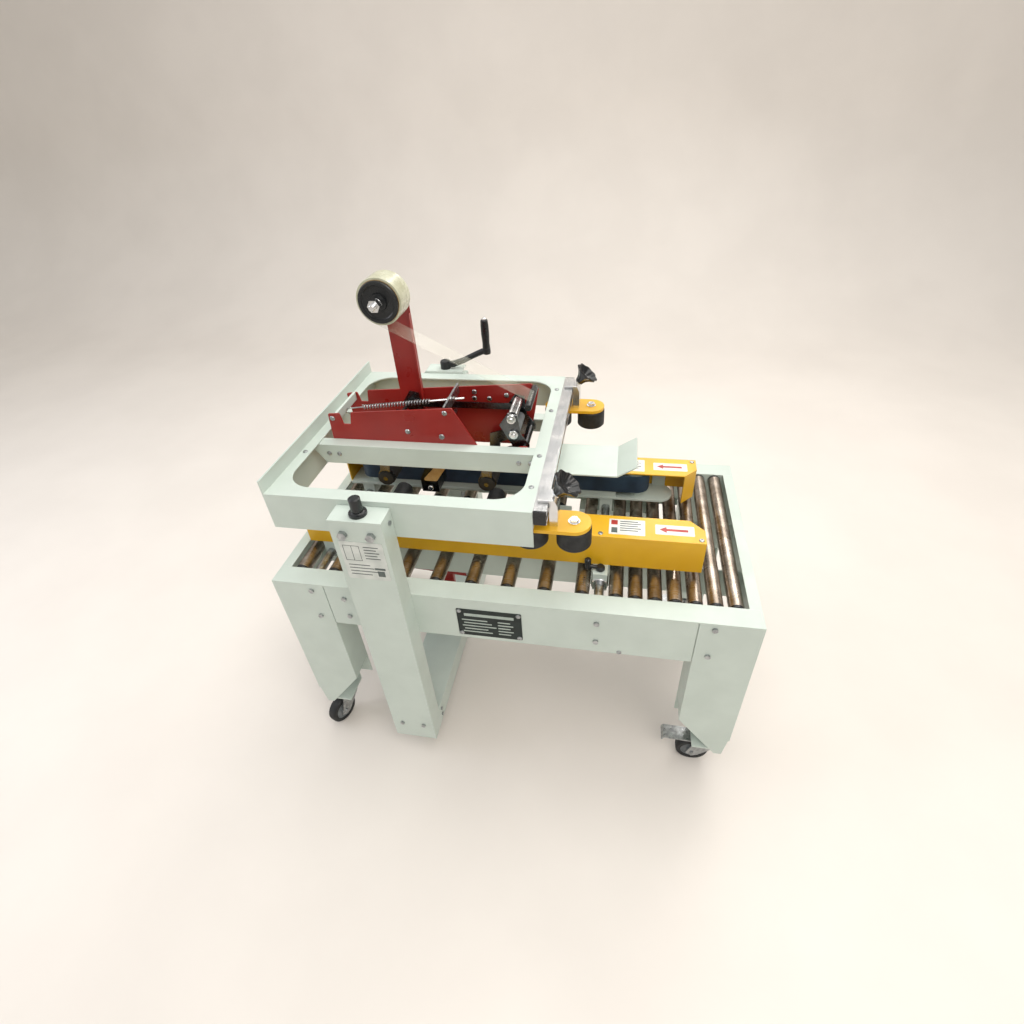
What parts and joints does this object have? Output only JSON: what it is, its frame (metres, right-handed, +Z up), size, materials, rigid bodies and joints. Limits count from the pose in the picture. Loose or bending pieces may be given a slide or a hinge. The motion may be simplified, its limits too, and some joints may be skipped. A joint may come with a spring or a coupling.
{
  "type": "carton sealer",
  "caption": "Side-belt carton sealer on casters: roller table with driven side belts, crank-lifted upper tape head with tape reel, side squeeze rollers and a lower tape head.",
  "frame": {"origin": "on the floor, under the middle of the roller table", "axes": "+X to the infeed end (cartons travel towards -X), -Y the operator's side, +Z up"},
  "size_m": [1, 0.646, 1.089],
  "materials": {
    "mint_paint": "satin powder coat",
    "red_paint": "gloss powder coat",
    "yellow_paint": "satin powder coat",
    "chrome_steel": "bright chrome plate",
    "zinc_steel": "zinc plated",
    "navy_belt": "woven-backed rubber belt",
    "black_rubber": "moulded rubber",
    "black_plastic": "moulded plastic",
    "tape": "wound clear tape"
  },
  "bodies": {
    "machine_frame": {"side_rails": "mint_paint", "cross_rails": "mint_paint", "legs": "mint_paint", "cross_shafts": "chrome_steel", "columns": "mint_paint", "base_beam": "mint_paint", "lower_head_plates": "red_paint", "switch_box": "mint_paint", "frame_bolts": "zinc_steel"},
    "caster_1": {"caster_fork_1": "zinc_steel"},
    "caster_tread_1": {"caster_wheel_1": "black_rubber"},
    "caster_2": {"caster_fork_2": "zinc_steel"},
    "caster_tread_2": {"caster_wheel_2": "black_rubber"},
    "caster_3": {"caster_fork_3": "zinc_steel"},
    "caster_tread_3": {"caster_wheel_3": "black_rubber"},
    "caster_4": {"caster_fork_4": "zinc_steel"},
    "caster_tread_4": {"caster_wheel_4": "black_rubber"},
    "roller_01": {"conveyor_roller_01": "chrome_steel"},
    "roller_02": {"conveyor_roller_02": "chrome_steel"},
    "roller_03": {"conveyor_roller_03": "chrome_steel"},
    "roller_04": {"conveyor_roller_04": "chrome_steel"},
    "roller_05": {"conveyor_roller_05": "chrome_steel"},
    "roller_06": {"conveyor_roller_06": "chrome_steel"},
    "roller_07": {"conveyor_roller_07": "chrome_steel"},
    "roller_08": {"conveyor_roller_08": "chrome_steel"},
    "roller_09": {"conveyor_roller_09": "chrome_steel"},
    "roller_10": {"conveyor_roller_10": "chrome_steel"},
    "roller_11": {"conveyor_roller_11": "chrome_steel"},
    "roller_12": {"conveyor_roller_12": "chrome_steel"},
    "roller_13": {"conveyor_roller_13": "chrome_steel"},
    "roller_14": {"conveyor_roller_14": "chrome_steel"},
    "roller_15": {"conveyor_roller_15": "chrome_steel"},
    "roller_16": {"conveyor_roller_16": "chrome_steel"},
    "head_carriage": {"upper_frame": "mint_paint", "infeed_skid": "mint_paint", "guide_rail": "chrome_steel", "upper_head_plates": "red_paint", "main_spring": "zinc_steel"},
    "screw_near": {"lift_screw_near": "zinc_steel"},
    "squeeze_arm_near_body": {"squeeze_arm_near": "yellow_paint"},
    "squeeze_wheel_near": {"squeeze_roller_near": "black_rubber"},
    "belt_unit_near": {"belt_cover_near": "yellow_paint", "side_belt_near": "navy_belt", "belt_carriage_near": "mint_paint"},
    "screw_far": {"lift_screw_far": "zinc_steel"},
    "squeeze_arm_far_body": {"squeeze_arm_far": "yellow_paint"},
    "squeeze_wheel_far": {"squeeze_roller_far": "black_rubber"},
    "belt_unit_far": {"belt_cover_far": "yellow_paint", "side_belt_far": "navy_belt", "belt_carriage_far": "mint_paint"},
    "belt_lock": {"belt_lever": "black_plastic"},
    "upper_front_arm_body": {"upper_front_arm": "zinc_steel"},
    "upper_rear_arm_body": {"upper_rear_arm": "zinc_steel"},
    "upper_tape_reel_body": {"upper_tape_reel": "tape"},
    "lower_front_arm_body": {"lower_front_arm": "zinc_steel"},
    "lower_rear_arm_body": {"lower_rear_arm": "zinc_steel"},
    "lower_tape_reel_body": {"lower_tape_reel": "tape"},
    "seal_link_body": {"seal_link": "zinc_steel"},
    "cutter_body": {"cutter_arm": "black_plastic"},
    "button_body": {"stop_button": "red_paint"}
  },
  "joints": [
    {"name": "head_lift", "type": "slide", "parent": "machine_frame", "child": "head_carriage", "axis": [0, 0, 1], "range_m": [-0.048, 0]},
    {"name": "screw_near_turn", "type": "hinge", "parent": "machine_frame", "child": "screw_near", "pos_m": [-0.237, -0.292, 0.3], "axis": [0, 0, 1], "range_deg": [-3458, 2]},
    {"name": "squeeze_near_slide", "type": "slide", "parent": "head_carriage", "child": "squeeze_arm_near_body", "axis": [0, 1, 0], "range_m": [-0.008, 0.09]},
    {"name": "squeeze_near_spin", "type": "hinge", "parent": "squeeze_arm_near_body", "child": "squeeze_wheel_near", "pos_m": [0.142, -0.222, 0.688], "axis": [0, 0, 1], "continuous": true},
    {"name": "belt_near_slide", "type": "slide", "parent": "machine_frame", "child": "belt_unit_near", "axis": [0, 1, 0], "range_m": [-0.03, 0.012]},
    {"name": "screw_far_turn", "type": "hinge", "parent": "machine_frame", "child": "screw_far", "pos_m": [-0.237, 0.292, 0.3], "axis": [0, 0, 1], "range_deg": [-3458, 2]},
    {"name": "squeeze_far_slide", "type": "slide", "parent": "head_carriage", "child": "squeeze_arm_far_body", "axis": [0, -1, 0], "range_m": [-0.008, 0.09]},
    {"name": "squeeze_far_spin", "type": "hinge", "parent": "squeeze_arm_far_body", "child": "squeeze_wheel_far", "pos_m": [0.142, 0.222, 0.688], "axis": [0, 0, 1], "continuous": true},
    {"name": "belt_far_slide", "type": "slide", "parent": "machine_frame", "child": "belt_unit_far", "axis": [0, -1, 0], "range_m": [-0.03, 0.012]},
    {"name": "belt_lock_turn", "type": "hinge", "parent": "belt_unit_near", "child": "belt_lock", "pos_m": [0.192, -0.163, 0.55], "axis": [0, 0, 1], "range_deg": [0, 90]},
    {"name": "upper_front_arm_swing", "type": "hinge", "parent": "head_carriage", "child": "upper_front_arm_body", "pos_m": [0.023, 0, 0.757], "axis": [0, 1, 0], "range_deg": [0, 22], "stiffness_Nm_per_rad": 10, "springref_deg": -20.05},
    {"name": "upper_rear_arm_swing", "type": "hinge", "parent": "head_carriage", "child": "upper_rear_arm_body", "pos_m": [-0.21, 0, 0.757], "axis": [0, 1, 0], "range_deg": [0, 22]},
    {"name": "upper_reel_spin", "type": "hinge", "parent": "head_carriage", "child": "upper_tape_reel_body", "pos_m": [-0.24, 0, 1.045], "axis": [0, 1, 0], "continuous": true},
    {"name": "lower_front_arm_swing", "type": "hinge", "parent": "machine_frame", "child": "lower_front_arm_body", "pos_m": [0.023, 0, 0.467], "axis": [0, -1, 0], "range_deg": [0, 22], "stiffness_Nm_per_rad": 14, "springref_deg": -28.65},
    {"name": "lower_rear_arm_swing", "type": "hinge", "parent": "machine_frame", "child": "lower_rear_arm_body", "pos_m": [-0.21, 0, 0.467], "axis": [0, -1, 0], "range_deg": [0, 22]},
    {"name": "lower_reel_spin", "type": "hinge", "parent": "machine_frame", "child": "lower_tape_reel_body", "pos_m": [-0.24, 0, 0.179], "axis": [0, 1, 0], "continuous": true},
    {"name": "seal_link_swing", "type": "hinge", "parent": "upper_front_arm_body", "child": "seal_link_body", "pos_m": [-0.012, 0, 0.806], "axis": [0, 1, 0], "range_deg": [-22, 0]},
    {"name": "cutter_swing", "type": "hinge", "parent": "head_carriage", "child": "cutter_body", "pos_m": [-0.146, 0, 0.781], "axis": [0, 1, 0], "range_deg": [0, 12], "stiffness_Nm_per_rad": 4, "springref_deg": -22.92},
    {"name": "stop_button_press", "type": "slide", "parent": "machine_frame", "child": "button_body", "axis": [0, -1, 0], "range_m": [0, 0.005], "stiffness_N_per_m": 800, "springref_m": -0.003},
    {"name": "caster_1_swivel", "type": "hinge", "parent": "machine_frame", "child": "caster_1", "pos_m": [-0.462, -0.228, 0.093], "axis": [0, 0, 1], "continuous": true},
    {"name": "caster_1_roll", "type": "hinge", "parent": "caster_1", "child": "caster_tread_1", "pos_m": [-0.47249, -0.25396, 0.0375], "axis": [-0.9272, 0.3746, 0], "continuous": true},
    {"name": "caster_2_swivel", "type": "hinge", "parent": "machine_frame", "child": "caster_2", "pos_m": [-0.462, 0.228, 0.093], "axis": [0, 0, 1], "continuous": true},
    {"name": "caster_2_roll", "type": "hinge", "parent": "caster_2", "child": "caster_tread_2", "pos_m": [-0.47339, 0.25358, 0.0375], "axis": [0.9135, 0.4067, 0], "continuous": true},
    {"name": "caster_3_swivel", "type": "hinge", "parent": "machine_frame", "child": "caster_3", "pos_m": [0.462, -0.228, 0.093], "axis": [0, 0, 1], "continuous": true},
    {"name": "caster_3_roll", "type": "hinge", "parent": "caster_3", "child": "caster_tread_3", "pos_m": [0.434, -0.228, 0.0375], "axis": [0, 1, 0], "continuous": true},
    {"name": "caster_4_swivel", "type": "hinge", "parent": "machine_frame", "child": "caster_4", "pos_m": [0.462, 0.228, 0.093], "axis": [0, 0, 1], "continuous": true},
    {"name": "caster_4_roll", "type": "hinge", "parent": "caster_4", "child": "caster_tread_4", "pos_m": [0.43537, 0.21935, 0.0375], "axis": [-0.309, 0.9511, 0], "continuous": true},
    {"name": "roller_01_spin", "type": "hinge", "parent": "machine_frame", "child": "roller_01", "pos_m": [-0.458, 0, 0.517], "axis": [0, 1, 0], "continuous": true},
    {"name": "roller_02_spin", "type": "hinge", "parent": "machine_frame", "child": "roller_02", "pos_m": [-0.381, 0, 0.517], "axis": [0, 1, 0], "continuous": true},
    {"name": "roller_03_spin", "type": "hinge", "parent": "machine_frame", "child": "roller_03", "pos_m": [-0.304, 0, 0.517], "axis": [0, 1, 0], "continuous": true},
    {"name": "roller_04_spin", "type": "hinge", "parent": "machine_frame", "child": "roller_04", "pos_m": [-0.227, 0, 0.517], "axis": [0, 1, 0], "continuous": true},
    {"name": "roller_05_spin", "type": "hinge", "parent": "machine_frame", "child": "roller_05", "pos_m": [-0.15, 0, 0.517], "axis": [0, 1, 0], "continuous": true},
    {"name": "roller_06_spin", "type": "hinge", "parent": "machine_frame", "child": "roller_06", "pos_m": [-0.073, 0, 0.517], "axis": [0, 1, 0], "continuous": true},
    {"name": "roller_07_spin", "type": "hinge", "parent": "machine_frame", "child": "roller_07", "pos_m": [0.004, 0, 0.517], "axis": [0, 1, 0], "continuous": true},
    {"name": "roller_08_spin", "type": "hinge", "parent": "machine_frame", "child": "roller_08", "pos_m": [0.081, 0, 0.517], "axis": [0, 1, 0], "continuous": true},
    {"name": "roller_09_spin", "type": "hinge", "parent": "machine_frame", "child": "roller_09", "pos_m": [0.158, 0, 0.517], "axis": [0, 1, 0], "continuous": true},
    {"name": "roller_10_spin", "type": "hinge", "parent": "machine_frame", "child": "roller_10", "pos_m": [0.226, 0, 0.517], "axis": [0, 1, 0], "continuous": true},
    {"name": "roller_11_spin", "type": "hinge", "parent": "machine_frame", "child": "roller_11", "pos_m": [0.2645, 0, 0.517], "axis": [0, 1, 0], "continuous": true},
    {"name": "roller_12_spin", "type": "hinge", "parent": "machine_frame", "child": "roller_12", "pos_m": [0.303, 0, 0.517], "axis": [0, 1, 0], "continuous": true},
    {"name": "roller_13_spin", "type": "hinge", "parent": "machine_frame", "child": "roller_13", "pos_m": [0.3415, 0, 0.517], "axis": [0, 1, 0], "continuous": true},
    {"name": "roller_14_spin", "type": "hinge", "parent": "machine_frame", "child": "roller_14", "pos_m": [0.38, 0, 0.517], "axis": [0, 1, 0], "continuous": true},
    {"name": "roller_15_spin", "type": "hinge", "parent": "machine_frame", "child": "roller_15", "pos_m": [0.4185, 0, 0.517], "axis": [0, 1, 0], "continuous": true},
    {"name": "roller_16_spin", "type": "hinge", "parent": "machine_frame", "child": "roller_16", "pos_m": [0.457, 0, 0.517], "axis": [0, 1, 0], "continuous": true}
  ],
  "couplings": [
    {"joint": "screw_near_turn", "follows": "head_lift", "rad_per_m": 1256.6},
    {"joint": "screw_far_turn", "follows": "head_lift", "rad_per_m": 1256.6},
    {"joint": "upper_rear_arm_swing", "follows": "upper_front_arm_swing", "ratio": 1},
    {"joint": "lower_rear_arm_swing", "follows": "lower_front_arm_swing", "ratio": 1},
    {"joint": "seal_link_swing", "follows": "upper_front_arm_swing", "ratio": -1}
  ]
}
